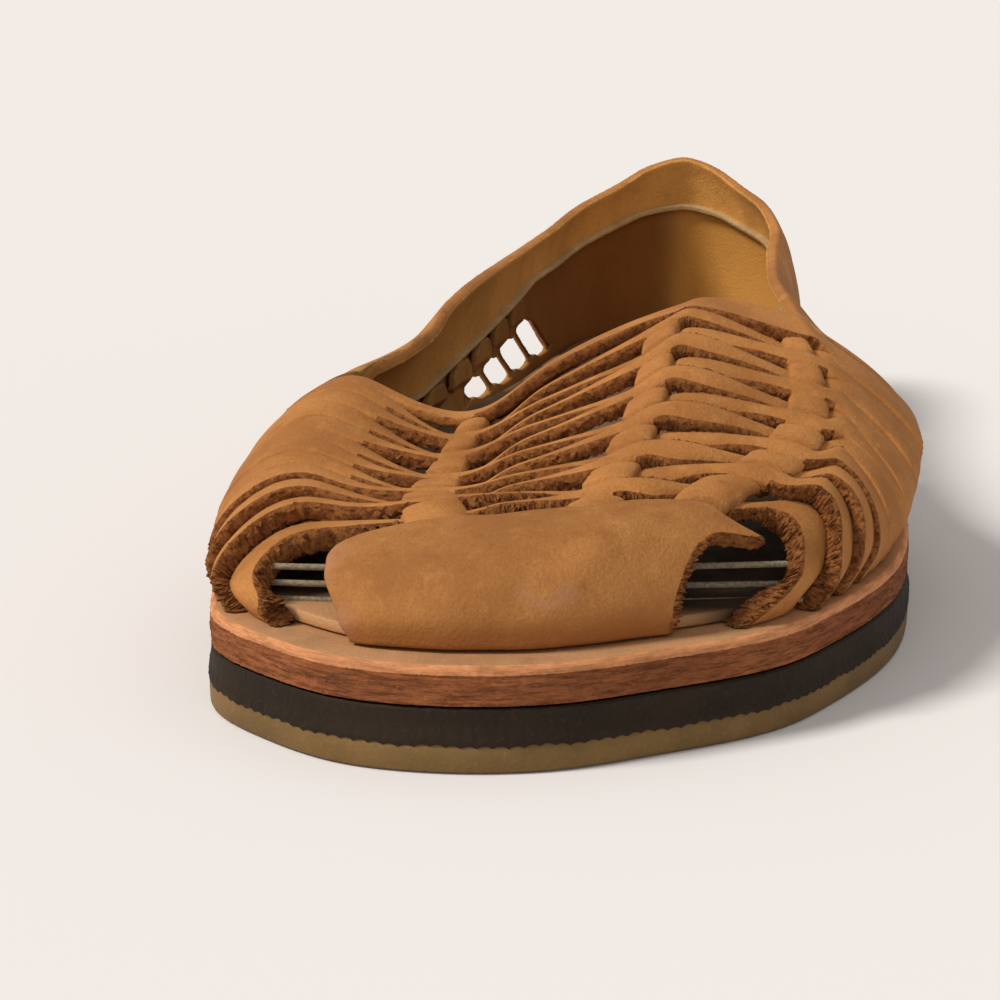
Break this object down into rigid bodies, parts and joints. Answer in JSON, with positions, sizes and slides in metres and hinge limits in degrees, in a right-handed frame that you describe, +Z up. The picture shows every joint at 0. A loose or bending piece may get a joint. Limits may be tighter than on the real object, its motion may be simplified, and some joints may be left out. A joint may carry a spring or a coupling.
{
  "type": "huarache sandal",
  "caption": "Left woven leather slip-on sandal: toe band, three lengthwise fingers, crossing strips, low collar and heel, on a flat sole of leather and rubber layers.",
  "frame": {"origin": "middle of the sole's footprint on the floor", "axes": "+Z up, the toe points to -Y and the heel to +Y, the medial side lies at -X and the lateral side at +X"},
  "size_m": [0.117, 0.2855, 0.062],
  "materials": {
    "tan_rubber": "smooth tan rubber, satin",
    "black_rubber": "matt black rubber",
    "sole_leather": "raw cut edge, matt",
    "footbed_leather": "worn smooth leather, matt",
    "upper_leather": "camel nubuck, matt"
  },
  "bodies": {
    "root": {"outsole": "tan_rubber", "midsole": "black_rubber", "top_sole": "sole_leather", "footbed": "footbed_leather", "upper": "upper_leather"}
  },
  "joints": []
}
